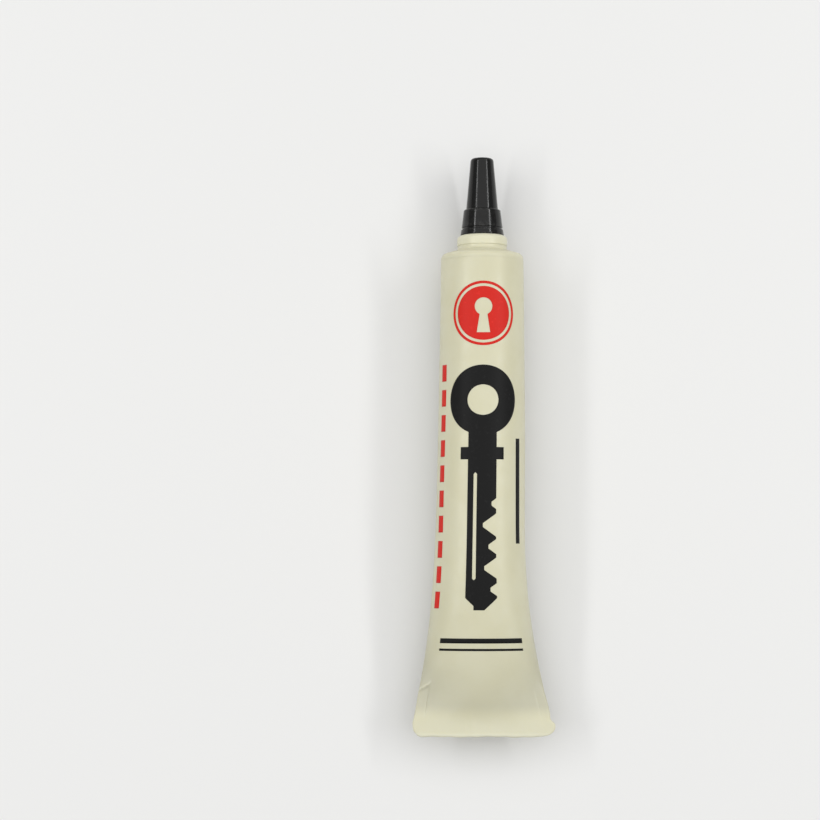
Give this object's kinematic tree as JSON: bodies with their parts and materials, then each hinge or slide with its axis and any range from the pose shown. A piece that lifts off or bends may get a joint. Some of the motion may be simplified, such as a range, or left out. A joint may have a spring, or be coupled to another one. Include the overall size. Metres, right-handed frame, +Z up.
{
  "type": "graphite lubricant tube",
  "caption": "Soft white squeeze tube of dry graphite for locks, pressed flat and sealed at one end, with a tapered push-in nozzle under a black push-on cap.",
  "frame": {"origin": "on the floor under the middle of the tube's box, with the tube lying on its back", "axes": "+Y along the tube towards the cap, +X to the right seen from above, +Z up, the way the printed front faces"},
  "size_m": [0.0376, 0.1542, 0.022],
  "materials": {
    "sleeve_plastic": "satin",
    "shoulder_plastic": "satin",
    "nozzle_plastic": "satin",
    "cap_plastic": "gloss",
    "graphite": "matte"
  },
  "bodies": {
    "tube": {"tube_sleeve": "sleeve_plastic", "tube_shoulder": "shoulder_plastic", "nozzle": "nozzle_plastic", "graphite_powder": "graphite"},
    "cap": {"cap": "cap_plastic"}
  },
  "joints": [
    {"name": "cap_pull", "type": "slide", "parent": "tube", "child": "cap", "axis": [0, 1, 0], "range_m": [0, 0.03]}
  ]
}
